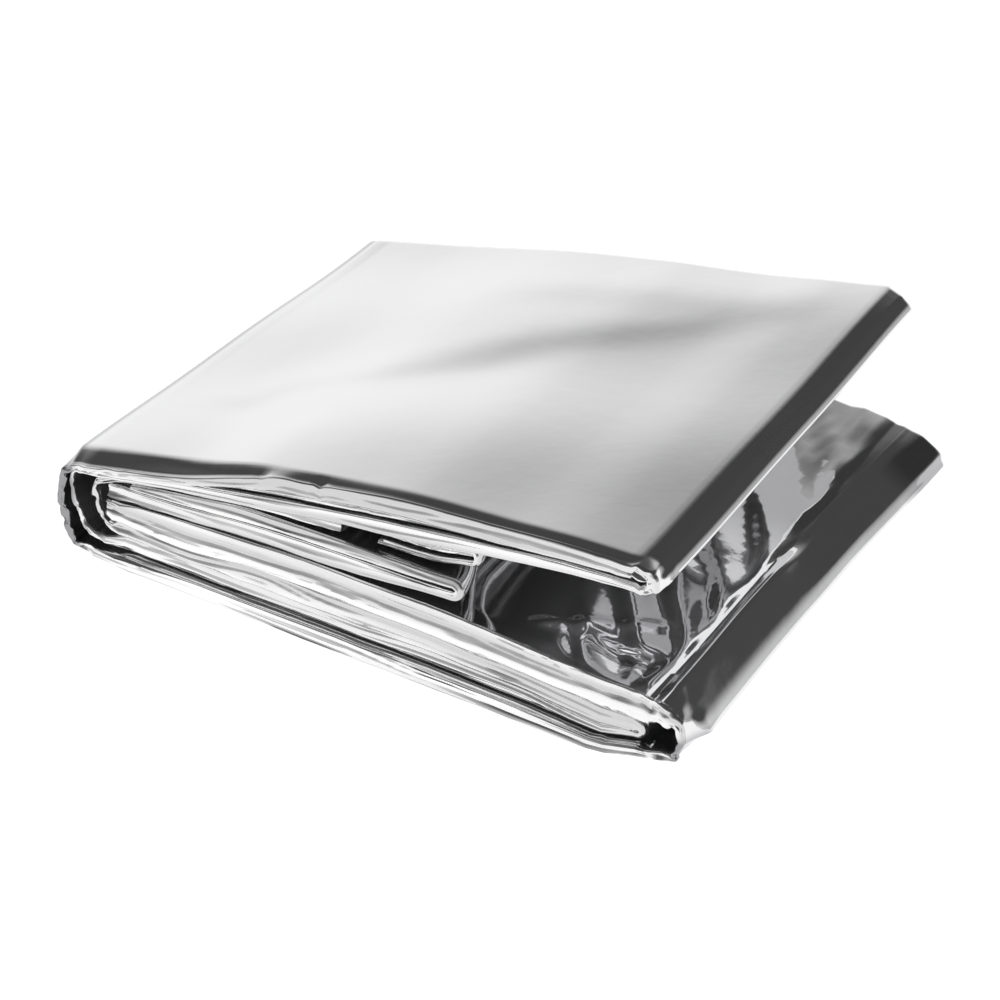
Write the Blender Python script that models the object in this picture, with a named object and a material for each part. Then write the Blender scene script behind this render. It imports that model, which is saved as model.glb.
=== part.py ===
"""Emergency foil blanket, folded into a packet that gapes open like a book.

One sheet of metallised film.  Its section, seen from the front, is one back-and-forth strip: each
strand below stands for a bundle of plies.  The strip is offset to its thickness and carried
along the spine from the front edge to the back edge.

X runs from the closed spine (left) to the open side, Y along the spine, Z up.  Sizes are in
millimetres until the mesh is made.
"""
import math

import bpy
import numpy as np

MM = 0.001
DEPTH = 100.0            # length of the spine
BASE = 1.0               # height of the middle of the bottom skin, half its thickness
LIFT_FROM = 109.5        # the bottom skin leaves the ground right of here at the front corner
LIFT_SLOPE = 0.31
LIFT_DEPTH = 24.0        # and the lift has died out this far back
CORNER_CUT = 6.5         # how far the far right corner of the lower leaf is blunted

# Along Y: distance from the front edge and share of the full thickness there.
STATIONS = [(0.0, 0.34), (0.45, 0.80), (1.6, 1.0), (12.0, 1.0), (26.0, 1.0), (42.0, 1.0),
            (58.0, 1.0), (74.0, 1.0), (88.0, 1.0), (98.4, 1.0), (99.55, 0.80), (100.0, 0.34)]

# A row per strand: its left and right ends, heights of its middle at the front at the five x of
# COLUMNS_X and at the right end, thickness at left, middle and right, how far its front and back
# edges are set in, and how much its middle and its right end differ at the back edge.
COLUMNS_X = (10.0, 30.0, 50.0, 75.0, 100.0)
STRANDS = {
    #            left  right   z10   z30   z50   z75   z100  z_end   t_l  t_m  t_r   front back  mid   end
    "fan_top":   (45.0,  85.0, 15.0, 19.0, 22.1, 27.2, 31.0, 28.9,  1.0, 1.1, 1.0,  4.6, 2.2, -0.5,  0.4),
    "fan_low":   (25.5,  85.0, 16.2, 18.6, 20.3, 25.1, 28.6, 26.9,  1.0, 1.1, 1.0,  4.2, 2.0, -0.4,  0.3),
    "roll_top":  (25.5,  81.0, 14.9, 16.7, 18.5, 21.6, 23.0, 22.1,  1.0, 1.2, 1.3,  1.6, 1.6, -0.3,  0.2),
    "roll_low":  (11.0,  81.0, 14.0, 14.6, 16.6, 19.0, 19.9, 19.7,  1.2, 1.2, 1.3,  1.4, 1.4, -0.2,  0.1),
    "leaf_top":  (11.0, 119.5, 11.5, 12.2, 13.6, 14.3, 13.9, 13.3,  1.2, 3.2, 2.6,  0.3, 0.5,  0.0,  0.0),
    "bottom":    (9.0,  117.5, BASE, BASE, BASE, BASE, BASE, BASE,  2.0, 2.0, 1.8,  0.1, 0.3,  0.0,  0.0),
    "top":       (3.5,  116.0, 22.3, 27.2, 32.4, 35.8, 37.7, 38.0,  1.5, 1.8, 1.6,  0.0, 0.0, -1.8,  2.3),
    "under":     (6.5,  115.5, 19.5, 23.2, 26.5, 30.2, 33.4, 34.9,  1.3, 1.8, 1.5,  0.6, 0.4, -1.0,  2.3),
    "low_skin":  (10.0, 116.5,  5.0,  5.4,  5.6,  5.5,  4.9,  4.6,  1.3, 2.0, 1.2,  1.3, 1.0,  0.0,  0.2),
    "low_ply":   (12.5, 116.5,  8.7,  9.0,  9.5,  9.4,  8.1,  6.9,  1.3, 2.3, 1.2,  0.9, 0.9,  0.0,  0.4),
    "short_ply": (14.0,  58.0, 16.9, 20.9, 24.0, 27.6, 30.0, 25.7,  1.2, 1.2, 1.1,  2.0, 1.4, -0.8,  0.0),
}
END = 7                  # column of the height at the right end

# Points of the middle of the strip where it wraps round an end, in the order it is followed.
WRAPS = {
    "right_end": [(122.2, 13.2), (125.6, 11.5), (127.3, 8.6), (126.7, 5.0), (123.8, 2.1)],
    "spine":     [(4.0, BASE), (-1.2, 2.1), (-1.2, 5.5), (-2.75, 12.1), (-0.45, 19.0), (0.8, 19.95)],
    "tip":       [(118.4, 38.0), (119.3, 37.3), (119.3, 36.4), (118.2, 35.4)],
    "inner_c":   [(3.0, 18.2), (2.1, 16.2), (1.3, 13.4), (2.6, 9.5), (3.9, 6.4), (5.9, 4.9)],
    "core_c":    [(9.2, 9.2), (6.7, 11.4), (6.6, 14.6), (9.0, 16.1)],
}

# The strip from one free end to the other: a strand and the way it is followed, or a wrap.  A
# plain fold is "turn" with its reach beyond the strands' ends.
RIGHT, LEFT = 1, -1
STRIP = [("fan_top", RIGHT), ("turn", 1.0), ("fan_low", LEFT), ("turn", -0.95),
         ("roll_top", RIGHT), ("turn", 1.25), ("roll_low", LEFT), ("turn", -1.35),
         ("leaf_top", RIGHT), ("right_end", 0), ("bottom", LEFT), ("spine", 0),
         ("top", RIGHT), ("tip", 0), ("under", LEFT), ("inner_c", 0),
         ("low_skin", RIGHT), ("turn", 1.2), ("low_ply", LEFT), ("core_c", 0),
         ("short_ply", RIGHT)]
WRAP_THICK = {"right_end": 2.0, "spine": 1.5, "tip": 1.4, "inner_c": 1.2, "core_c": 1.2}


def smooth(v):
    """Soft step from 0 to 1."""
    v = min(max(v, 0.0), 1.0)
    return v * v * (3.0 - 2.0 * v)


def strand_xs(left, right):
    """x of the points along a strand: its ends and the columns well inside them."""
    inner = [x for x in (22.0, 30.0, 40.0, 50.0, 62.0, 75.0, 88.0, 100.0, 109.5)
             if left + 4.0 < x < right - 3.0]
    return [left] + inner + [right]


def strand_point(row, x, back):
    """Height and thickness of a strand's middle at x; back runs 0 at the front to 1."""
    left, right = row[0], row[1]
    known = [(cx, z) for cx, z in zip(COLUMNS_X, row[2:END]) if cx < right - 1.0]
    known.append((right, row[END]))
    xs, zs = zip(*known)
    if x < xs[0]:
        z = zs[0] + (x - xs[0]) * (zs[1] - zs[0]) / (xs[1] - xs[0])
    else:
        z = float(np.interp(x, xs, zs))
        # a cubic would overshoot the flat runs, so the corners are only softened
        near = [float(np.interp(min(max(x + d, xs[0]), right), xs, zs)) for d in (-6.0, 6.0)]
        z = 0.6 * z + 0.2 * sum(near)
    along = (x - left) / (right - left)
    thick = float(np.interp(along, (0.0, 0.55, 1.0), row[END + 1:END + 4]))
    mid, end = row[END + 6], row[END + 7]
    z += back * (mid * math.sin(math.pi * min(x / 100.0, 1.0)) + end * smooth((x - 60.0) / 58.0))
    return z, thick


def uneven(x, y, z):
    """Slow swell of the stack, nothing at the ground."""
    swell = 0.30 * math.sin(0.062 * y + 0.021 * x) + 0.22 * math.sin(0.115 * y - 0.034 * x + 1.0)
    return swell * min(z / 16.0, 1.0) * smooth((z - 2.0) / 6.0)


def top_folds(x, y):
    """The two slack diagonal troughs and the raised fold of the upper face."""
    a = y - (18.0 + 0.62 * x)
    b = y - (2.0 + 0.62 * x)
    return -0.55 * math.exp(-(a / 7.0) ** 2) + 0.40 * math.exp(-(b / 8.0) ** 2)


def section(y):
    """Middle points, thicknesses and set-ins of the whole strip at y."""
    back = y / DEPTH
    pts = []                                   # x, z, thickness, front set-in, back set-in
    for name, way in STRIP:
        if name in STRANDS:
            row = STRANDS[name]
            xs = strand_xs(row[0], row[1])
            run = []
            for x in xs[::way]:
                z, thick = strand_point(row, x, back)
                if name == "top":
                    z += top_folds(x, y) * smooth((x - 8.0) / 20.0) * smooth((112.0 - x) / 15.0)
                run.append([x, z, thick, row[END + 4], row[END + 5]])
            pts.append((name, run))
        elif name == "turn":
            pts.append((name, way))
        else:
            run = []
            for x, z in WRAPS[name]:
                if name == "tip":
                    z += 2.3 * back
                    x -= 0.8 * back
                if name == "right_end":
                    x += 0.9 * smooth(back * 1.2) * smooth((z - 1.0) / 8.0)
                if name == "spine":
                    x += 0.5 * math.sin(0.09 * y) * smooth((z - 4.0) / 6.0) * smooth((18.0 - z) / 5.0)
                cut = CORNER_CUT * smooth((x - 119.0) / 8.0) if name == "right_end" else 0.0
                run.append([x, z, WRAP_THICK[name], 0.6, 0.6 + cut])
            pts.append((name, run))
    # fill the plain folds between the strands they join
    path = []
    for k, (name, run) in enumerate(pts):
        if name != "turn":
            path += run
            continue
        a, b = pts[k - 1][1][-1], pts[k + 1][1][0]
        mid_z, half = (a[1] + b[1]) / 2.0, (b[1] - a[1]) / 2.0
        for ang in (40.0, 75.0, 105.0, 140.0):
            r = math.radians(ang)
            share = ang / 180.0
            path.append([a[0] + run * math.sin(r), mid_z - half * math.cos(r),
                         a[2] + share * (b[2] - a[2]), a[3] + share * (b[3] - a[3]),
                         a[4] + share * (b[4] - a[4])])
    rise = 1.0 - smooth(y / LIFT_DEPTH)
    for p in path:
        held = min(max((12.0 - p[1]) / 9.0, 0.0), 1.0)
        p[1] += LIFT_SLOPE * max(0.0, p[0] - LIFT_FROM) * rise * held + uneven(p[0], y, p[1])
    return np.array(path)


def sides(path, share):
    """Both faces of the strip: the middle moved square to itself by half the thickness."""
    xz, thick = path[:, :2], path[:, 2] * share
    step = np.diff(xz, axis=0)
    step /= np.linalg.norm(step, axis=1)[:, None]
    ahead = np.vstack([step, step[-1]])
    behind = np.vstack([step[0], step])
    na = np.stack([-ahead[:, 1], ahead[:, 0]], axis=1)
    nb = np.stack([-behind[:, 1], behind[:, 0]], axis=1)
    bisector = na + nb
    bisector /= np.linalg.norm(bisector, axis=1)[:, None]
    reach = 0.5 * thick / np.maximum(np.sum(bisector * na, axis=1), 0.72)
    return xz + bisector * reach[:, None], xz - bisector * reach[:, None]


def blanket_mesh():
    """The closed body: two faces, two cut ends and the front and back edges."""
    rings = []
    for y, share in STATIONS:
        path = section(y)
        one, two = sides(path, share)
        near = 1.0 - smooth(y / 30.0)
        far = smooth((y - 70.0) / 30.0)
        ys = y + path[:, 3] * near - path[:, 4] * far
        ring = []
        for side in (one, two):
            ring.append(np.stack([side[:, 0], ys, side[:, 1]], axis=1))
        rings.append(ring)
    rows, count = len(rings), len(rings[0][0])
    verts = np.array(rings).reshape(-1, 3)
    # the row's origin is under the middle of the whole packet
    verts[:, :2] -= (verts[:, :2].min(axis=0) + verts[:, :2].max(axis=0)) / 2.0
    verts[:, 2] -= verts[:, 2].min()
    verts *= MM

    def at(row, side, i):
        return (row * 2 + side) * count + i

    faces = []
    for r in range(rows - 1):
        for i in range(count - 1):
            faces.append((at(r, 0, i), at(r, 0, i + 1), at(r + 1, 0, i + 1), at(r + 1, 0, i)))
            faces.append((at(r, 1, i), at(r + 1, 1, i), at(r + 1, 1, i + 1), at(r, 1, i + 1)))
        for i, flip in ((0, False), (count - 1, True)):
            quad = (at(r, 0, i), at(r + 1, 0, i), at(r + 1, 1, i), at(r, 1, i))
            faces.append(quad[::-1] if flip else quad)
    for r, flip in ((0, False), (rows - 1, True)):
        for i in range(count - 1):
            quad = (at(r, 0, i), at(r, 1, i), at(r, 1, i + 1), at(r, 0, i + 1))
            faces.append(quad[::-1] if flip else quad)
    return verts, faces


def signed_volume(verts, faces):
    total = 0.0
    for f in faces:
        a = verts[f[0]]
        for k in range(1, len(f) - 1):
            total += float(np.dot(a, np.cross(verts[f[k]], verts[f[k + 1]])))
    return total / 6.0


for left_over in list(bpy.data.objects):
    bpy.data.objects.remove(left_over)

verts, faces = blanket_mesh()
if signed_volume(verts, faces) < 0.0:
    faces = [f[::-1] for f in faces]

mesh = bpy.data.meshes.new("foil_blanket")
mesh.from_pydata([tuple(v) for v in verts], [], faces)
mesh.polygons.foreach_set("use_smooth", [True] * len(mesh.polygons))
mesh.set_sharp_from_angle(angle=math.radians(32.0))
mesh.update()

film = bpy.data.materials.new("metallised_film")
film.use_nodes = True
shader = film.node_tree.nodes["Principled BSDF"]
shader.inputs["Base Color"].default_value = (0.82, 0.82, 0.83, 1.0)
shader.inputs["Metallic"].default_value = 1.0
shader.inputs["Roughness"].default_value = 0.14
mesh.materials.append(film)

blanket = bpy.data.objects.new("foil_blanket", mesh)
group = bpy.data.collections.new("foil_blanket")
bpy.context.scene.collection.children.link(group)
group.objects.link(blanket)
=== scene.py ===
"""Emergency foil blanket: one sheet of metallised film, folded into a packet that gapes like a book."""

import math

import bpy
import numpy as np
from mathutils import Matrix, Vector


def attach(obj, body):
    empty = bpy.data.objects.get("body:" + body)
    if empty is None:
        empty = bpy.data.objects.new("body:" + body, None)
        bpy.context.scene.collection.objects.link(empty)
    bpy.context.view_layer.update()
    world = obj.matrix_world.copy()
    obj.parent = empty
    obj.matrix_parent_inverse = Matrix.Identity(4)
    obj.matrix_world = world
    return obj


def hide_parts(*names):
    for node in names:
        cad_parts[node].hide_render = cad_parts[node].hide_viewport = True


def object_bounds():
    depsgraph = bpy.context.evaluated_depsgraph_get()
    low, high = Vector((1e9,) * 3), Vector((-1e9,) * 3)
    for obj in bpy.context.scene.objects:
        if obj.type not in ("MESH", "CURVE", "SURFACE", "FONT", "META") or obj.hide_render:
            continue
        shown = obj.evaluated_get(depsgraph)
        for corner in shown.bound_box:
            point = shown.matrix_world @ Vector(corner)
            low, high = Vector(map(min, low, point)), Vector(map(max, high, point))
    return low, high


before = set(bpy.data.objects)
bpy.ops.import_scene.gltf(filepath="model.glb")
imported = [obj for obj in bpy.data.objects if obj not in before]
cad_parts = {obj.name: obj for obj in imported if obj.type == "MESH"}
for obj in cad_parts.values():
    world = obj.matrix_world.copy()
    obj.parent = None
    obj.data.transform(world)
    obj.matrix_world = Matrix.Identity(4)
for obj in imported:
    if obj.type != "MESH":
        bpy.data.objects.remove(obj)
cad_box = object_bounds()

# The folds of the film.
# The sheet is 12 micrometre polyester with a vacuum-metallised face, pressed into flat bundles of
# plies.  It is followed as a back-and-forth section, seen from the front, with a row per bundle.
MM = 0.001
DEPTH = 100.0                                  # along the spine
SPINE_REACH = 3.98                             # the spine stands out this far left of x = 0
shift_x = cad_box[0].x / MM + SPINE_REACH      # the solids' place for x = 0
FRONT_Y = -DEPTH / 2.0

BANDS_X = (10.0, 25.0, 42.0, 60.0, 75.0, 90.0, 105.0)
# Columns: left, right, lower edge at BANDS_X and at the right end, upper edge at the same places,
# front and back set-in, share of the raised leaf's change at the back, depth of the ply grooves.
STRANDS = {
    "top": (3.5, 114.5, (21.8, 25.1, 29.4, 32.2, 34.0, 35.2, 36.5, 37.2),
            (23.2, 26.7, 31.7, 35.2, 37.3, 38.3, 39.4, 39.6), 0.0, 0.0, 1.0, 0.10),
    "under": (6.5, 115.0, (19.0, 21.6, 24.2, 27.0, 29.0, 31.2, 33.3, 34.0),
              (20.2, 23.2, 26.4, 29.4, 31.5, 33.4, 35.1, 35.5), 0.4, 0.5, 1.0, 0.12),
    "middle": (13.0, 116.5, (20.5, 23.4, 26.6, 29.6, 31.7, 33.6, 35.3, 36.0),
               (21.5, 24.9, 29.2, 32.0, 33.8, 35.0, 36.3, 37.0), 1.7, 1.3, 1.0, 0.26),
    "short_ply": (9.0, 58.3, (17.5, 20.5, 22.7, 24.5, 26.0, 27.0, 28.0, 24.4),
                  (18.8, 21.4, 23.9, 26.0, 27.0, 28.0, 29.0, 25.9), 1.9, 1.4, 0.4, 0.20),
    "fan_top": (65.0, 83.6, (19.0, 22.0, 24.0, 25.4, 26.2, 28.6, 29.0, 27.6),
                (20.0, 23.0, 25.0, 26.6, 28.4, 30.8, 31.0, 29.8), 3.4, 2.2, 0.3, 0.26),
    "fan_low": (65.0, 83.6, (18.0, 20.0, 22.0, 23.4, 23.9, 26.6, 27.0, 25.6),
                (19.0, 21.0, 23.0, 24.4, 25.1, 27.7, 28.0, 26.8), 3.2, 2.0, 0.2, 0.12),
    "roll_top": (13.0, 81.0, (17.6, 18.4, 19.8, 20.6, 21.0, 21.9, 22.0, 21.4),
                 (17.9, 20.3, 22.5, 22.9, 23.0, 23.7, 23.8, 23.3), 1.0, 1.6, 0.1, 0.13),
    "roll_low": (8.0, 81.0, (14.5, 15.6, 16.6, 17.3, 18.7, 19.4, 19.5, 19.1),
                 (17.3, 18.2, 19.6, 20.4, 20.7, 21.2, 21.3, 21.0), 0.7, 1.4, 0.1, 0.14),
    "leaf_top": (7.6, 119.0, (10.0, 9.3, 10.9, 10.9, 10.9, 10.5, 9.6, 9.4),
                 (14.2, 15.3, 16.3, 16.8, 17.0, 16.4, 15.4, 15.0), 0.1, 0.5, 0.0, 0.15),
    "bottom": (9.0, 117.0, (0.05, 0.05, 0.05, 0.05, 0.05, 0.05, 0.05, 0.05),
               (2.9, 3.1, 3.2, 3.3, 3.3, 3.1, 2.5, 2.2), -0.5, 0.3, 0.0, 0.24),
    "low_skin": (10.0, 115.5, (3.2, 3.4, 3.5, 3.6, 3.6, 3.4, 2.8, 2.6),
                 (6.3, 6.5, 6.4, 6.4, 6.5, 6.0, 5.2, 4.5), 1.5, 1.0, 0.0, 0.15),
    "low_ply": (9.6, 115.5, (6.5, 6.7, 6.6, 6.6, 6.7, 6.2, 5.4, 4.8),
                (9.8, 9.1, 10.7, 10.7, 10.7, 10.3, 9.3, 7.9), 0.7, 0.9, 0.0, 0.16),
}
# How much higher the raised leaf is at its back edge, at BANDS_X and its right end.
RAISED_BACK = (-0.4, -0.7, -1.8, -1.9, -1.7, -0.8, 0.9, 2.5)
# Where the strip wraps round an end, in the order it is followed: its outer face for the first
# three, its middle for the inner ones, and its thickness.
WRAPS = {
    "right_end": [(119.3, 14.4, 5.0), (120.8, 14.95, 4.8), (121.5, 14.6, 4.4), (125.8, 10.45, 2.8),
                  (126.4, 9.75, 2.4), (127.6, 8.0, 1.6), (121.5, 2.0, 1.4), (118.5, 0.1, 1.8)],
    "spine": [(3.0, 0.1, 2.0), (-2.2, 0.8, 1.6), (-3.6, 4.4, 1.6), (-4.2, 8.4, 1.7), (-4.1, 12.0, 1.7),
              (-3.2, 15.8, 1.6), (-2.2, 18.4, 1.4), (-0.7, 20.5, 1.3), (1.6, 21.2, 1.4)],
    "tip": [(115.2, 39.5, 2.4), (117.6, 38.5, 2.2), (119.2, 37.1, 1.7), (119.95, 36.03, 1.3),
            (116.6, 33.9, 1.4)],
    "inner_c": [(3.0, 18.6, 1.1), (0.5, 18.0, 1.0), (-0.7, 14.5, 0.9), (0.1, 10.2, 0.9), (1.5, 6.8, 0.9),
                (3.6, 5.2, 1.2), (6.6, 4.9, 1.9)],
    "core_c": [(8.2, 8.2, 2.6), (6.0, 9.4, 1.3), (5.3, 12.5, 1.1), (4.9, 15.6, 1.1), (5.6, 17.4, 1.2),
               (7.4, 18.0, 1.3)],
}
# The same at the very front, where the raised tip is blunt and the lower corner is lifted and square.
BLUNT_TIP = [(115.2, 39.4, 2.6), (118.3, 38.8, 2.8), (119.3, 37.2, 2.6), (119.1, 35.0, 2.2),
             (116.6, 34.0, 1.6)]
LIFTED_END = [(119.3, 14.3, 5.0), (120.8, 14.1, 4.8), (121.8, 13.8, 4.6), (124.7, 11.5, 3.0),
              (124.9, 10.6, 1.8), (125.0, 7.6, 1.5), (124.8, 4.2, 1.2), (118.5, 2.6, 1.6)]
# How far back each reaches, the height and width of its crumples, and its outer face, which has as
# many points as the wrap it blends into.
FRONT_WRAPS = {"tip": (4.0, 0.35, 1.4, BLUNT_TIP), "right_end": (5.5, 0.7, 2.6, LIFTED_END)}
# Height of the small creases on each wrap's front edge.
CRUMPLED = {"right_end": 0.40, "spine": 0.48, "tip": 0.55, "inner_c": 0.45, "core_c": 0.75}
# Strands inside the gape, whose faces take a darker mirror tone: painted shade.
SHADED_STRANDS = ("leaf_top", "under", "roll_top", "roll_low", "fan_top", "fan_low", "short_ply")
RIGHT, LEFT = 1, -1                            # the way a strand is followed


def soft_step(v):
    """3v^2 - 2v^3 between 0 and 1, flat outside."""
    v = np.clip(v, 0.0, 1.0)
    return v * v * (3.0 - 2.0 * v)


def soft_line(x, xs, zs):
    """Cubic through the points (xs, zs), with slopes limited so that it never overshoots."""
    xs, zs = np.asarray(xs, float), np.asarray(zs, float)
    h, d = np.diff(xs), np.diff(zs) / np.diff(xs)
    both = d[:-1] * d[1:] > 0
    slope = np.zeros_like(xs)
    slope[1:-1] = np.where(both, 2.0 * d[:-1] * d[1:] / np.where(both, d[:-1] + d[1:], 1.0), 0.0)
    slope[0], slope[-1] = d[0], d[-1]
    k = np.clip(np.searchsorted(xs, x) - 1, 0, len(h) - 1)
    t = (x - xs[k]) / h[k]
    inside = np.clip(t, 0.0, 1.0)
    cubic = ((2 * inside**3 - 3 * inside**2 + 1) * zs[k]
             + (inside**3 - 2 * inside**2 + inside) * h[k] * slope[k]
             + (3 * inside**2 - 2 * inside**3) * zs[k + 1] + (inside**3 - inside**2) * h[k] * slope[k + 1])
    return cubic + np.where(t < 0, t * h[k] * slope[k], 0) + np.where(t > 1, (t - 1) * h[k] * slope[k + 1], 0)


def lattice_random(i, j, seed):
    """A fixed random number from -1 to 1 for each whole-number corner (i, j)."""
    n = np.sin(i * 127.1 + j * 311.7 + seed * 74.7) * 43758.5453
    return 2.0 * (n - np.floor(n)) - 1.0


def swell(u, v, seed):
    """Smooth noise: random heights at whole-number corners, joined by soft steps."""
    i, j = np.floor(u), np.floor(v)
    a, b = soft_step(u - i), soft_step(v - j)
    low = lattice_random(i, j, seed) * (1 - a) + lattice_random(i + 1, j, seed) * a
    high = lattice_random(i, j + 1, seed) * (1 - a) + lattice_random(i + 1, j + 1, seed) * a
    return low * (1 - b) + high * b


def creases(u, v, seed):
    """Creased film: random heights at whole-number corners joined by flat triangles, on bent axes."""
    bent_u = u + 0.45 * swell(u * 0.9, v * 0.9, seed + 5)
    bent_v = v + 0.45 * swell(u * 0.9, v * 0.9, seed + 9)
    i, j = np.floor(bent_u), np.floor(bent_v)
    a, b = bent_u - i, bent_v - j
    h00, h10 = lattice_random(i, j, seed), lattice_random(i + 1, j, seed)
    h01, h11 = lattice_random(i, j + 1, seed), lattice_random(i + 1, j + 1, seed)
    near = h00 + (h10 - h00) * a + (h01 - h00) * b
    far = h11 + (h01 - h11) * (1 - a) + (h10 - h11) * (1 - b)
    return np.where(a + b < 1.0, near, far)


def stack_swell(x, y, z):
    """The solids' slow swell of the whole stack, nothing at the ground."""
    wave = 0.30 * np.sin(0.062 * y + 0.021 * x) + 0.22 * np.sin(0.115 * y - 0.034 * x + 1.0)
    return wave * np.minimum(z / 16.0, 1.0) * soft_step((z - 2.0) / 6.0)


def corner_lift(x, y, z):
    """The lower leaf's front corner, lifted off the ground right of x = 109.5."""
    held = np.clip((12.0 - z) / 9.0, 0.0, 1.0)
    return 0.31 * np.maximum(0.0, x - 109.5) * (1.0 - soft_step(y / 24.0)) * held


def half_way(x, z, thick):
    """From the middle of the strip to its left-hand face: half its thickness, on softened normals."""
    normal = np.stack([-np.gradient(z, axis=1), np.gradient(x, axis=1)])
    normal = normal / np.hypot(*normal)
    wide = np.pad(normal, ((0, 0), (0, 0), (2, 2)), mode="edge")
    soft = sum(wide[..., k:k + x.shape[1]] for k in range(5))
    return soft / np.hypot(*soft) * thick / 2.0


def front_margin(x, y):
    """How far the top's front margin slopes down: widest at the spine, with two small nicks."""
    drop = (1.9 - 1.3 * soft_step((x - 18.0) / 52.0)) * (1.0 - 0.5 * np.exp(-((x - 47.0) / 4.0) ** 2))
    slope = drop * np.clip(1.0 - (y - 0.9) / (3.4 - 1.8 * soft_step(x / 70.0)), 0.0, 1.0) ** 1.1
    nicks = np.exp(-((x - 55.6) / 0.7) ** 2) + 0.5 * np.exp(-((x - 43.0) / 0.6) ** 2)
    return slope + 0.5 * nicks * np.clip(1.0 - (y - 0.9) / 1.5, 0.0, 1.0)


def strand_run(name, ys, step):
    """Rows of x, z for each station of ys, from left to right, with a strand's other measures."""
    left, right, low, high, front, back_in, raised, grooves = STRANDS[name]
    count = max(4, int(round((right - left) / step)))
    t = np.linspace(0.0, 1.0, count + 1)
    x = left + (right - left) * (t * (1.5 - 0.5 * t) if name == "leaf_top" else t)
    inside = [k for k, cx in enumerate(BANDS_X) if cx < right - 4.0]
    stops = [BANDS_X[k] for k in inside] + [right]
    low_z = soft_line(x, stops, [low[k] for k in inside] + [low[-1]])
    high_z = soft_line(x, stops, [high[k] for k in inside] + [high[-1]])
    change = raised * soft_line(x, BANDS_X + (115.0,), RAISED_BACK)
    z = (low_z + high_z) / 2.0 + ys[:, None] / DEPTH * change
    x = np.broadcast_to(x, z.shape).copy()
    half_x, half_z = half_way(x, z, (high_z - low_z) / np.hypot(1.0, np.gradient(low_z, x[0])))
    crumpled = 0.05 + 0.42 * soft_step((16.0 - x[0]) / 8.0) + 0.12 * soft_step((x[0] - 106.0) / 8.0)
    shaded = 1.0 if name in SHADED_STRANDS else 0.0
    even = [np.full(x[0].shape, v) for v in (front, back_in, grooves, shaded)]
    return [x, z, half_x, half_z] + even + [crumpled]


def rounded(points, s, along, rounding):
    """Columns of the points at the places s along them, with the corners rounded."""
    shifts = np.linspace(-rounding, rounding, 7)
    return [np.mean([np.interp(np.clip(s + d, 0, along[-1]), along, column) for d in shifts], axis=0)
            for column in np.array(points).T]


BACK_FROM, BACK_OVER = 42.0, 14.0              # the right end's ridge fades behind here, over this far


def wrap_run(name, ys, step, rounding):
    """A wrap's points for each station, cut into short steps with its corners rounded."""
    pts = np.array(WRAPS[name])
    along = np.concatenate([[0.0], np.cumsum(np.linalg.norm(np.diff(pts[:, :2], axis=0), axis=1))])
    s = np.linspace(0.0, along[-1], max(6, int(round(along[-1] / step))) + 1)
    x, z, thick = rounded(pts, s, along, rounding)
    y = ys[:, None]
    back = y / DEPTH
    x, z, thick = x + 0 * y, z + 0 * y, thick + 0 * y
    back_in = np.full(s.shape, 0.5)
    if name in FRONT_WRAPS:
        reach, lumps, cell, shape = FRONT_WRAPS[name]
        share = 1.0 - np.clip(y / reach, 0.0, 1.0)
        front_x, front_z, front_thick = rounded(shape, s, along, rounding)
        corner = lumps * np.exp(-((y - 0.5) / reach) ** 2) * np.sin(np.pi * s / along[-1])
        x = x + share * (front_x - x) + corner * creases(s / cell + 0 * y, y / cell + 0 * s, 31)
        z = z + share * (front_z - z) + 0.6 * corner * creases(s / cell + 0 * y, y / cell + 0 * s, 33)
        thick = thick + share * (front_thick - thick)
    if name == "tip":
        x = x - 0.4 * back
        z = z + RAISED_BACK[-1] * back
    if name == "right_end":
        low_end = soft_step((z - 1.0) / 7.0)
        ridge_drop = np.interp(x, (119.3, 120.8, 121.5, 126.0), (0.35, 1.6, 1.5, 0.0))
        z = z - ridge_drop * soft_step((y - BACK_FROM) / BACK_OVER)
        x = x - 0.4 * low_end * np.exp(-((y - 30.0) / 20.0) ** 2)
        x = x + 1.6 * low_end * soft_step((y - 60.0) / 40.0)
        x = x + 1.3 * soft_step((z - 8.5) / 3.0) * soft_step((x - 121.0) / 2.0) * soft_step((y - 84.0) / 14.0)
        z = z + 0.06 * low_end * creases(s / 5.0 + 0 * y, y / 7.0 + 0 * s, 36)
    if name == "spine":
        x = x + 0.5 * np.sin(0.09 * y) * soft_step((z - 4.0) / 6.0) * soft_step((18.0 - z) / 5.0)
        z = z - front_margin(0.0, y) * soft_step((z - 17.0) / 3.5)
        x = x + 0.25 * creases(s / 2.6 + 0 * y, y / 9.0 + 0 * s, 44) * soft_step((20.5 - z) / 2.0)
    half_x, half_z = half_way(x, z, thick)
    if name in ("right_end", "spine", "tip"):
        x, z = x - half_x, z - half_z
    return [x, z, half_x, half_z, np.full(s.shape, 0.3), back_in] + [
        np.full(s.shape, v) for v in (0.06, 0.0, CRUMPLED[name])]


def fold_run(before, after, reach, points=9):
    """A plain fold: half an ellipse from the end of one run to the start of the next."""
    angle = np.radians(np.linspace(12.0, 168.0, points))
    x0, z0, z1 = before[0][:, -1:], before[1][:, -1:], after[1][:, :1]
    x = x0 + (after[0][:, :1] - x0) * (angle / np.pi) + reach * np.sin(angle)
    z = (z0 + z1) / 2.0 - (z1 - z0) / 2.0 * np.cos(angle)
    thick = [2.0 * np.hypot(run[2][:, k:k + 1 or None], run[3][:, k:k + 1 or None])
             for run, k in ((before, -1), (after, 0))]
    half_x, half_z = half_way(x, z, thick[0] + (thick[1] - thick[0]) * angle / np.pi)
    rest = [a[-1] + (b[0] - a[-1]) * angle / np.pi for a, b in zip(before[4:], after[4:])]
    return [x, z, half_x, half_z] + rest


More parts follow.
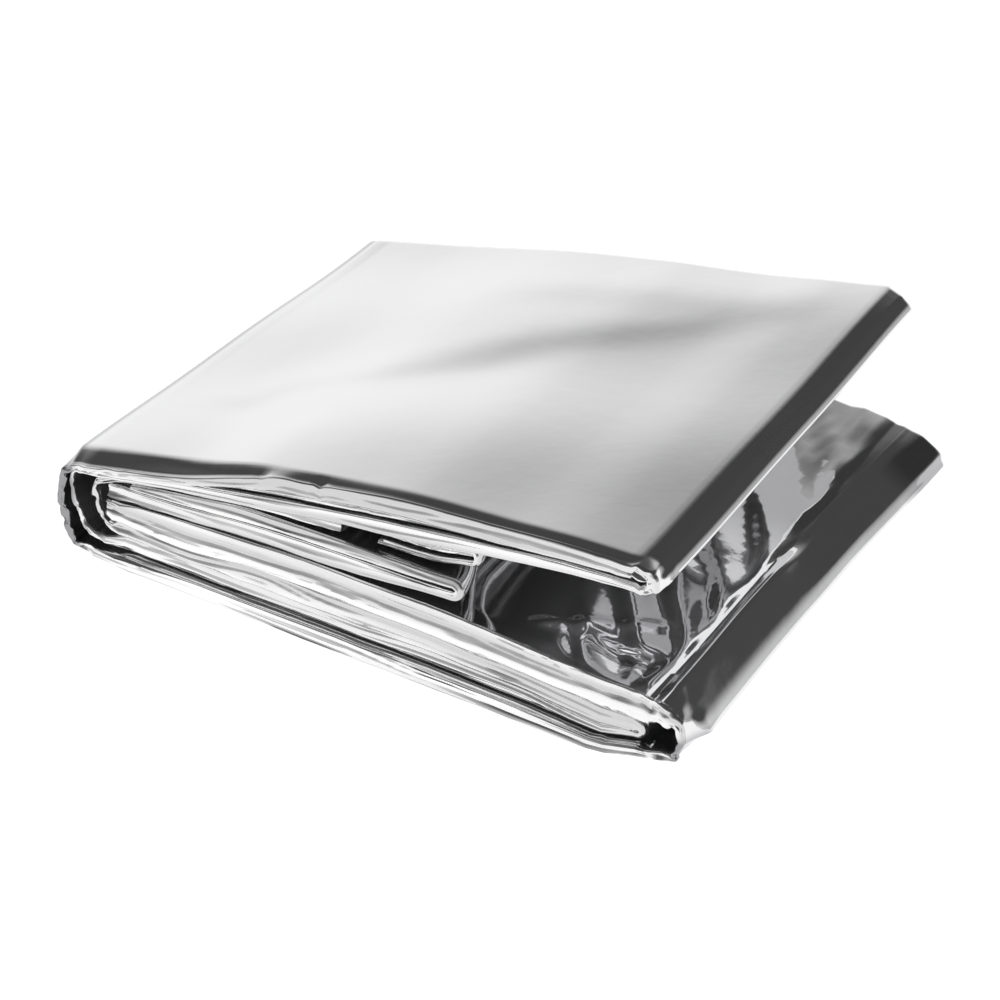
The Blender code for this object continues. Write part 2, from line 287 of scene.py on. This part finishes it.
def follow(strip, ys, local_shape):
    """Joins strands, wraps and folds into one path, after local_shape has moved each strand."""
    runs = []
    for name, way, step in strip:
        if name in STRANDS:
            run = local_shape(name, strand_run(name, ys, step), ys[:, None])
            run[2:4] = run[2] * way, run[3] * way
            runs.append([a[..., ::way] for a in run])
        elif name in WRAPS:
            runs.append(wrap_run(name, ys, step, way))
        else:
            runs.append((name, way))
    for k, run in enumerate(runs):
        if isinstance(run, tuple):
            runs[k] = fold_run(runs[k - 1], runs[k + 1], run[1])
    x, z, half_x, half_z = (np.concatenate([r[c] for r in runs], axis=1) for c in range(4))
    z = z + stack_swell(x, ys[:, None], z)
    return [x, z, half_x, half_z] + [np.concatenate([r[c] for r in runs]) for c in range(4, 9)]


def film_edge(s, w, t, grooves, crumpled):
    """How far the front edge stands out: grooves between plies, a slow wander and small creases."""
    phase = w * t * 0.44 + 0.9 * swell(s / 17.0, w * 0.5, 21)
    deep = np.clip(0.65 + 0.9 * swell(s / 13.0, w * 1.4 + 3.0, 27), 0.05, 1.4)
    groove = 0.5 - 0.5 * np.cos(2.0 * np.pi * phase) - 0.2 * np.cos(4.6 * np.pi * phase + 2.0 * w)
    fine = creases(s / 1.5, w * t * 0.45, 23) + 0.5 * creases(s / 0.8, w * t * 1.1, 26)
    return grooves * deep * groove + 0.20 * swell(s / 11.0, w * 0.7, 22) + crumpled * fine


def shade_lift(x, y):
    """Share where the painted shade of the strands inside the gape gives way to a bright mirror tone: the front
    right.
    """
    return soft_step((x - 86.0) / 10.0) * soft_step((60.0 - y) / 18.0)


def painted_shade(x, y, z):
    """Share of painted shade, a darker mirror tone: the spine, the right end's corners, the lowest ply."""
    corners = soft_step((6.5 - y) / 1.5) * soft_step((9.5 - z) / 2.0) + soft_step((y - 82.0) / 6.0)
    ends = np.maximum(soft_step((1.2 - x) / 1.8), corners * soft_step((x - 122.0) / 1.5))
    return np.maximum(ends, soft_step((0.9 - z) / 0.4) * soft_step((4.0 - y) / 2.0))


EDGE_ROUND = 0.9                               # radius of the front and back edges
EDGE_LEAN = 0.14                               # how far a bundle's front leans back, as a share of its half
BACK_RINGS = 6                                 # steps round the back edge
LOWEST = 0.02                                  # the film's lowest point above the ground
SHARPEST_SMOOTH = math.radians(48.0)           # film folded more sharply than this shows a crease
FACE, EDGES, SHADED = 0, 1, 2                   # the order of the film's materials


def film_object(name, path, ys, plies, materials):
    """Sweeps the film's outline along the path.

    At each path point the outline is a flat ring: the upper face from front to back, the back
    edge, the lower face and the front edge, which bulges and is grooved between its plies.
    """
    x, z, half_x, half_z, front, back_in, grooves, shaded, crumpled = path
    half = np.hypot(half_x[0], half_z[0])
    s = np.concatenate([[0.0], np.cumsum(np.hypot(np.diff(x[0]), np.diff(z[0])))])
    near = 1.0 - soft_step(ys / 30.0)
    far = soft_step((ys - 70.0) / 30.0)
    face_y = ys[:, None] + front * near[:, None] - back_in * far[:, None]

    rings = [np.stack([x[k] + half_x[k], face_y[k], z[k] + half_z[k]], 1) for k in range(len(ys))]
    across = [half + y for y in ys]
    for w in np.cos(np.pi * np.arange(1, BACK_RINGS) / BACK_RINGS):
        out = EDGE_ROUND * (1 - abs(w) ** 2.5) ** 0.4
        rings.append(np.stack([x[-1] + half_x[-1] * w, face_y[-1] + out, z[-1] + half_z[-1] * w], 1))
        across.append(half + DEPTH)
    rings += [np.stack([x[k] - half_x[k], face_y[k], z[k] - half_z[k]], 1)
              for k in range(len(ys) - 1, -1, -1)]
    across += [-half - y for y in ys[::-1]]
    first_cap = len(rings) - 1
    for w in -np.cos(np.pi * np.arange(1, plies) / plies):
        out = EDGE_ROUND * (1 - abs(w) ** 3.0) ** (1 / 3.0)
        out = out + film_edge(s, np.full(s.shape, w), 2.0 * half, grooves, crumpled)
        out = out - EDGE_LEAN * half_z[0] * np.sin(np.pi * w)
        rings.append(np.stack([x[0] + half_x[0] * w, face_y[0] - out, z[0] + half_z[0] * w], 1))
        across.append(half * w)
    verts = np.array(rings)
    loops, n = verts.shape[:2]
    verts = verts.reshape(-1, 3)
    verts[:, 2] = np.maximum(verts[:, 2], LOWEST)
    shares = {"shade_lift": shade_lift(verts[:, 0], verts[:, 1]), "painted_shade": painted_shade(*verts.T)}
    verts = (verts + (shift_x, FRONT_Y, 0.0)) * MM

    a = np.arange(loops)[:, None] * n + np.arange(n - 1)[None]
    b = (np.arange(1, loops + 1) % loops)[:, None] * n + np.arange(n - 1)[None]
    faces = np.stack([a, a + 1, b + 1, b], -1).reshape(-1, 4).tolist()
    ends = [list(range(0, loops * n, n)), list(range(n - 1, loops * n, n))[::-1]]
    mesh = bpy.data.meshes.new(name)
    mesh.from_pydata(verts.tolist(), [], faces + ends)
    mesh.polygons.foreach_set("use_smooth", [True] * len(mesh.polygons))
    mesh.update()
    mesh.set_sharp_from_angle(angle=SHARPEST_SMOOTH)
    number = np.arange(len(mesh.polygons))
    face_kind = np.where(shaded[number % (n - 1)] > 0.5, SHADED, FACE)
    face_kind = np.where(number >= first_cap * (n - 1), EDGES, face_kind)
    mesh.polygons.foreach_set("material_index", face_kind)
    for key, share in shares.items():
        mesh.attributes.new(key, "FLOAT", "POINT").data.foreach_set("value", share)
    place = np.stack([np.tile(s, loops), np.concatenate(across)], 1)
    uv = mesh.uv_layers.new(name="film")
    index = np.zeros(len(mesh.loops), int)
    mesh.loops.foreach_get("vertex_index", index)
    uv.data.foreach_set("uv", place[index].ravel() * MM)
    for material in materials:
        mesh.materials.append(material)
    piece = bpy.data.objects.new(name, mesh)
    bpy.context.scene.collection.objects.link(piece)
    return piece, s[-1]


# The metallised film.
# Vacuum-metallised polyester: a silver mirror, a little soft because the film is never quite flat.
def linear(hex_colour):
    """sRGB hex to linear RGBA."""
    c = [int(hex_colour[k:k + 2], 16) / 255.0 for k in (0, 2, 4)]
    return [v / 12.92 if v <= 0.04045 else ((v + 0.055) / 1.055) ** 2.4 for v in c] + [1.0]


def add_node(tree, kind, settings=None, links=()):
    """Adds a node, sets its fields and inputs, and links (input, source socket) pairs."""
    node = tree.nodes.new(kind)
    for key, value in (settings or {}).items():
        if isinstance(key, str) and hasattr(node, key):
            setattr(node, key, value)
        else:
            node.inputs[key].default_value = value
    for socket, source in links:
        tree.links.new(source, node.inputs[socket])
    return node


MIX_A, MIX_B, MIX_RESULT = 6, 7, 2              # the colour sockets of a Mix node


def film_material(name, colour, other_colour, share_name, roughness, crinkle):
    """Metallic mirror with a faint crinkle bump, turning to other_colour by the mesh's share_name."""
    material = bpy.data.materials.new(name)
    material.use_nodes = True
    tree = material.node_tree
    shader = tree.nodes["Principled BSDF"]
    share = add_node(tree, "ShaderNodeAttribute", {"attribute_name": share_name})
    tone_mix = add_node(tree, "ShaderNodeMix",
                      {"data_type": "RGBA", MIX_A: linear(colour), MIX_B: linear(other_colour)},
                      [("Factor", share.outputs["Fac"])])
    tree.links.new(tone_mix.outputs[MIX_RESULT], shader.inputs["Base Color"])
    shader.inputs["Metallic"].default_value = 0.94
    shader.inputs["Roughness"].default_value = roughness
    place = add_node(tree, "ShaderNodeTexCoord")
    fine = add_node(tree, "ShaderNodeTexNoise", {"Scale": 220.0, "Detail": 3.0, "Roughness": 0.55},
                    [("Vector", place.outputs["Object"])])
    bump = add_node(tree, "ShaderNodeBump", {"Strength": crinkle, "Distance": 0.0003},
                    [("Height", fine.outputs[0])])
    tree.links.new(bump.outputs["Normal"], shader.inputs["Normal"])
    return material, tone_mix


# Painted shade: the film turns to the darker B4B4B6 at the spine, the right end's corners and the lowest ply.
film, _ = film_material("metallised_polyester", "F0F0F1", "B4B4B6", "painted_shade", 0.07, 0.08)

# Where the plies' folded edges lie side by side, the mirror is broken into fine lines along them.
# Painted shade: the edges turn to the darker 9C9C9E at the same places.
edges, edge_tone_mix = film_material("metallised_polyester_edges", "EEEEEF", "9C9C9E", "painted_shade", 0.13, 0.0)
edge_tree = edges.node_tree
edge_place = add_node(edge_tree, "ShaderNodeTexCoord")
edge_scale = add_node(edge_tree, "ShaderNodeMapping", {"Scale": (16.0, 560.0, 1.0)},
                      [("Vector", edge_place.outputs["UV"])])
edge_lines = add_node(edge_tree, "ShaderNodeTexNoise", {"Scale": 1.0, "Detail": 1.0, "Roughness": 0.4},
                      [("Vector", edge_scale.outputs["Vector"])])
edge_bump = add_node(edge_tree, "ShaderNodeBump", {"Strength": 1.0, "Distance": 0.0004},
                     [("Height", edge_lines.outputs[0])])
edge_tree.links.new(edge_bump.outputs["Normal"], edge_tree.nodes["Principled BSDF"].inputs["Normal"])
# Some of the plies show duller than others, in bands about 3 mm high and 140 mm long.
dull_scale = add_node(edge_tree, "ShaderNodeMapping", {"Scale": (7.0, 330.0, 1.0)},
                      [("Vector", edge_place.outputs["UV"])])
dull_lines = add_node(edge_tree, "ShaderNodeTexNoise", {"Scale": 1.0, "Detail": 1.0, "Roughness": 0.5},
                      [("Vector", dull_scale.outputs["Vector"])])
dull = add_node(edge_tree, "ShaderNodeMapRange", {"From Min": 0.40, "From Max": 0.58},
                [("Value", dull_lines.outputs[0])])
dull_mix = add_node(edge_tree, "ShaderNodeMix",
                    {"data_type": "RGBA", MIX_A: linear("D1D1D1"), MIX_B: linear("FAFAFA")},
                    [("Factor", dull.outputs["Result"])])
edge_tree.links.new(dull_mix.outputs[MIX_RESULT], edge_tone_mix.inputs[MIX_A])

# Painted shade on the strands inside the gape: a darker mirror tone that turns bright towards the front right.
shaded_film, _ = film_material("metallised_polyester_painted_shade", "CDCDCE", "F6F6F7", "shade_lift", 0.07, 0.08)
films = (film, edges, shaded_film)


# The folded film.
# From the lower leaf's upper face round the right end, under the packet, round the faceted spine,
# over the top, back along the underside of the raised leaf, and on through the plies nested inside.
def station_ys(fine_front, count):
    """Stations along the spine, closer together at the front edge."""
    u = np.linspace(0.0, 1.0, count)
    y = EDGE_ROUND + (DEPTH - 2.0 * EDGE_ROUND) * (fine_front * u**2.2 + (1 - fine_front) * u)
    return np.insert(y, -1, y[-1] - 0.5)


# The top's soft folds: height, the line's y at x = 0 and its slope, where it starts and over what
# length, where it ends and over what length, its half width and how far its step reaches.
TOP_FOLDS = ((0.30, 22.0, 0.60, 34.0, 26.0, 112.0, 26.0, 5.0, 20.0),
             (0.17, 17.0, 0.58, 14.0, 14.0, 72.0, 16.0, 4.0, 14.0),
             (0.16, 73.0, 0.12, 36.0, 20.0, 112.0, 16.0, 4.0, 9.0),
             (0.07, 24.0, 0.05, 8.0, 8.0, 48.0, 14.0, 2.5, 6.0))


def film_shape(name, run, y):
    """The main creases of one strand: its margins, soft folds and the crinkles of the lower leaf."""
    x, z = run[:2]
    if name in ("bottom", "low_skin", "low_ply"):
        z = z + corner_lift(x, y, z)
    if name == "top":
        for height, line_y, slope, start, start_over, end, end_over, width, reach in TOP_FOLDS:
            across = y - (line_y + slope * x)
            share = soft_step((x - start) / start_over) * soft_step((end - x) / end_over)
            z = z + height * share * np.tanh(across / width) * np.exp(-(across / reach) ** 2)
        z = z - front_margin(x, y)
    if name in ("fan_top", "fan_low", "roll_top", "roll_low"):
        x = x - 9.0 * soft_step((x - 56.0) / 28.0) * soft_step(y / 24.0)
    if name == "leaf_top":
        behind = soft_step((y - BACK_FROM) / BACK_OVER)
        # Saw-toothed creases, and flat facets across them, where the leaf shows in the gape.
        open_part = soft_step((x - 91.0) / 10.0) * soft_step((118.5 - x) / 3.0) * soft_step((y - 1.0) / 5.0)
        u, v = x + 0.60 * y, y - 0.60 * x
        teeth = u / 9.0 + 0.35 * creases(u / 18.0, v / 14.0, 3)
        teeth = teeth - np.floor(teeth)
        z = z + 0.60 * open_part * np.where(teeth < 0.7, 0.5 - teeth / 0.7, (teeth - 0.7) / 0.3 - 0.5)
        z = z + 0.30 * open_part * creases(u / 7.5, v / 20.0, 8)
        # Its right margin droops in the back half, from a ragged line.
        over = 117.2 + 1.1 * creases(y / 5.0, 0.0 * x, 15)
        z = z - 0.9 * behind * np.clip((x - over) / (119.0 - over), 0.0, None)
        # A dip behind the front right corner.
        patch = soft_step((x - 98.0) / 9.0) * soft_step((117.0 - x) / 3.0)
        z = z - 1.6 * patch * np.clip((y - 0.9) / 7.0, 0.0, 1.0) * (1.0 - soft_step((y - 8.0) / 3.5))
        # A groove beside the right end's ridge, and a soft ridge across the corner.
        z = z - 0.35 * np.exp(-((x - 118.9) / 0.8) ** 2) * (1.0 - behind)
        ridge_y = 8.0 + 0.59 * (x - 95.0)
        ridge_part = soft_step((x - 91.0) / 4.0) * soft_step((114.0 - x) / 3.0)
        z = z + 0.35 * np.exp(-((y - ridge_y) / 1.3) ** 2) * ridge_part
        # The front edge turns down a little.
        z = z - 0.5 * soft_step((x - 50.0) / 20.0) * np.clip(1.0 - y / 4.0, 0.0, 1.0) ** 2
    return [x, z] + run[2:]


# A strand with its way and column spacing, a wrap with its rounding and spacing, a fold with its reach.
folded_strip = [("leaf_top", RIGHT, 1.1), ("right_end", 0.12, 0.5), ("bottom", LEFT, 3.0),
                ("spine", 0.2, 0.5), ("top", RIGHT, 1.2), ("tip", 0.12, 0.35), ("under", LEFT, 1.8),
                ("inner_c", 0.35, 0.5), ("low_skin", RIGHT, 2.0), ("fold", 1.2, 0),
                ("low_ply", LEFT, 2.0), ("core_c", 0.4, 0.5), ("short_ply", RIGHT, 2.0)]
film_ys = station_ys(0.78, 54)
path = follow(folded_strip, film_ys, film_shape)
folded, folded_length = film_object("folded_film", path, film_ys, 26, films)
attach(folded, "root")
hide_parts("foil_blanket")


# The inner plies.
# The sheet's inner end: a rolled fold and a fan of thin plies that stop part-way in the gape, and
# the plies pressed flat inside the raised leaf.
inner_strips = {
    "rolled_plies": [("roll_top", RIGHT, 1.6), ("fold", 1.25, 0), ("roll_low", LEFT, 1.6)],
    "fanned_plies": [("fan_top", RIGHT, 0.8), ("fold", 0.9, 0), ("fan_low", LEFT, 0.8)],
    "leaf_plies": [("middle", RIGHT, 1.6)],
}
inner_ys = station_ys(0.7, 26)
for piece_name, strip in inner_strips.items():
    path = follow(strip, inner_ys, film_shape)
    plies, plies_length = film_object(piece_name, path, inner_ys, 22, films)
    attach(plies, "root")
    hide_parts("foil_blanket")


# The studio.
# A pale floor that fills the view, and soft light that is bright low down at the back left and
# dark overhead, which is what the film mirrors.
floor_mesh = bpy.data.meshes.new("floor")
FLOOR_HALF = 4.0
floor_mesh.from_pydata([(-FLOOR_HALF, -FLOOR_HALF, 0), (FLOOR_HALF, -FLOOR_HALF, 0),
                        (FLOOR_HALF, FLOOR_HALF, 0), (-FLOOR_HALF, FLOOR_HALF, 0)], [], [(0, 1, 2, 3)])
floor = bpy.data.objects.new("floor", floor_mesh)
bpy.context.scene.collection.objects.link(floor)
paper = bpy.data.materials.new("studio_paper")
paper.use_nodes = True
paper_shader = paper.node_tree.nodes["Principled BSDF"]
paper_shader.inputs["Base Color"].default_value = linear("F2F2F2")
paper_shader.inputs["Roughness"].default_value = 0.9
paper_shader.inputs["Specular IOR Level"].default_value = 0.0
paper_shader.inputs["Emission Color"].default_value = (1.0, 1.0, 1.0, 1.0)
paper_shader.inputs["Emission Strength"].default_value = 0.93
floor_mesh.materials.append(paper)

world = bpy.data.worlds.new("studio")
bpy.context.scene.world = world
world.use_nodes = True
sky = world.node_tree
sky.nodes.clear()
direction = add_node(sky, "ShaderNodeTexCoord")
parts = add_node(sky, "ShaderNodeSeparateXYZ", None, [("Vector", direction.outputs["Generated"])])
toward = add_node(sky, "ShaderNodeVectorMath", {"operation": "DOT_PRODUCT", 1: (-0.62, 0.78, 0.0)},
                  [(0, direction.outputs["Generated"])])
side = add_node(sky, "ShaderNodeMapRange", {"From Min": 0.5, "From Max": 0.8, "interpolation_type": "SMOOTHSTEP"},
                [("Value", toward.outputs["Value"])])
height = add_node(sky, "ShaderNodeMapRange",
                  {"From Min": 0.12, "From Max": 0.87, "To Min": 0.98, "To Max": 0.0,
                   "interpolation_type": "SMOOTHSTEP"}, [("Value", parts.outputs["Z"])])
low = add_node(sky, "ShaderNodeMapRange", {"From Min": 0.0, "From Max": 0.33, "To Min": 0.72, "To Max": 0.0},
               [("Value", parts.outputs["Z"])])
panel = add_node(sky, "ShaderNodeMath", {"operation": "MULTIPLY"},
                 [(0, side.outputs["Result"]), (1, height.outputs["Result"])])
ahead = add_node(sky, "ShaderNodeVectorMath", {"operation": "DOT_PRODUCT", 1: (-0.52, -0.85, 0.0)},
                 [(0, direction.outputs["Generated"])])
front_side = add_node(sky, "ShaderNodeMapRange", {"From Min": 0.5, "From Max": 0.8}, [("Value", ahead.outputs["Value"])])
front_height = add_node(sky, "ShaderNodeMapRange", {"From Min": 0.0, "From Max": 0.75, "To Min": 0.75, "To Max": 0.0},
                        [("Value", parts.outputs["Z"])])
front_panel = add_node(sky, "ShaderNodeMath", {"operation": "MULTIPLY"},
                       [(0, front_side.outputs["Result"]), (1, front_height.outputs["Result"])])
both = add_node(sky, "ShaderNodeMath", {"operation": "MAXIMUM"},
                [(0, panel.outputs["Value"]), (1, front_panel.outputs["Value"])])
glow = add_node(sky, "ShaderNodeMath", {"operation": "MAXIMUM"},
                [(0, both.outputs["Value"]), (1, low.outputs["Result"])])
level = add_node(sky, "ShaderNodeMath", {"operation": "MULTIPLY_ADD", 1: 1.0, 2: 0.05}, [(0, glow.outputs["Value"])])
background = add_node(sky, "ShaderNodeBackground", {"Color": (1.0, 1.0, 1.0, 1.0)},
                      [("Strength", level.outputs["Value"])])
add_node(sky, "ShaderNodeOutputWorld", None, [("Surface", background.outputs["Background"])])

# The camera, at the photograph's angle, in the same millimetres as the folds.
CAMERA_AT = (253.338, -268.832, 253.83)
CAMERA_AZIMUTH = math.radians(31.158)
CAMERA_ELEVATION = math.radians(33.808)
CAMERA_ROLL = math.radians(0.154)
FOCAL_SHARE = 2.3855                           # focal length in widths of the frame
SENSOR_WIDTH = 36.0
camera_data = bpy.data.cameras.new("camera")
camera = bpy.data.objects.new("camera", camera_data)
bpy.context.scene.collection.objects.link(camera)
camera_data.sensor_width = SENSOR_WIDTH
camera_data.lens = SENSOR_WIDTH * FOCAL_SHARE
camera_data.clip_start = 0.01
camera_data.clip_end = 50.0
camera.location = [(CAMERA_AT[0] + shift_x) * MM, (CAMERA_AT[1] + FRONT_Y) * MM, CAMERA_AT[2] * MM]
turned = Matrix.Rotation(CAMERA_AZIMUTH, 3, "Z") @ Matrix.Rotation(math.pi / 2 - CAMERA_ELEVATION, 3, "X")
camera.rotation_euler = (turned @ Matrix.Rotation(CAMERA_ROLL, 3, "Z")).to_euler()
bpy.context.scene.camera = camera
bpy.context.scene.view_settings.view_transform = "Standard"
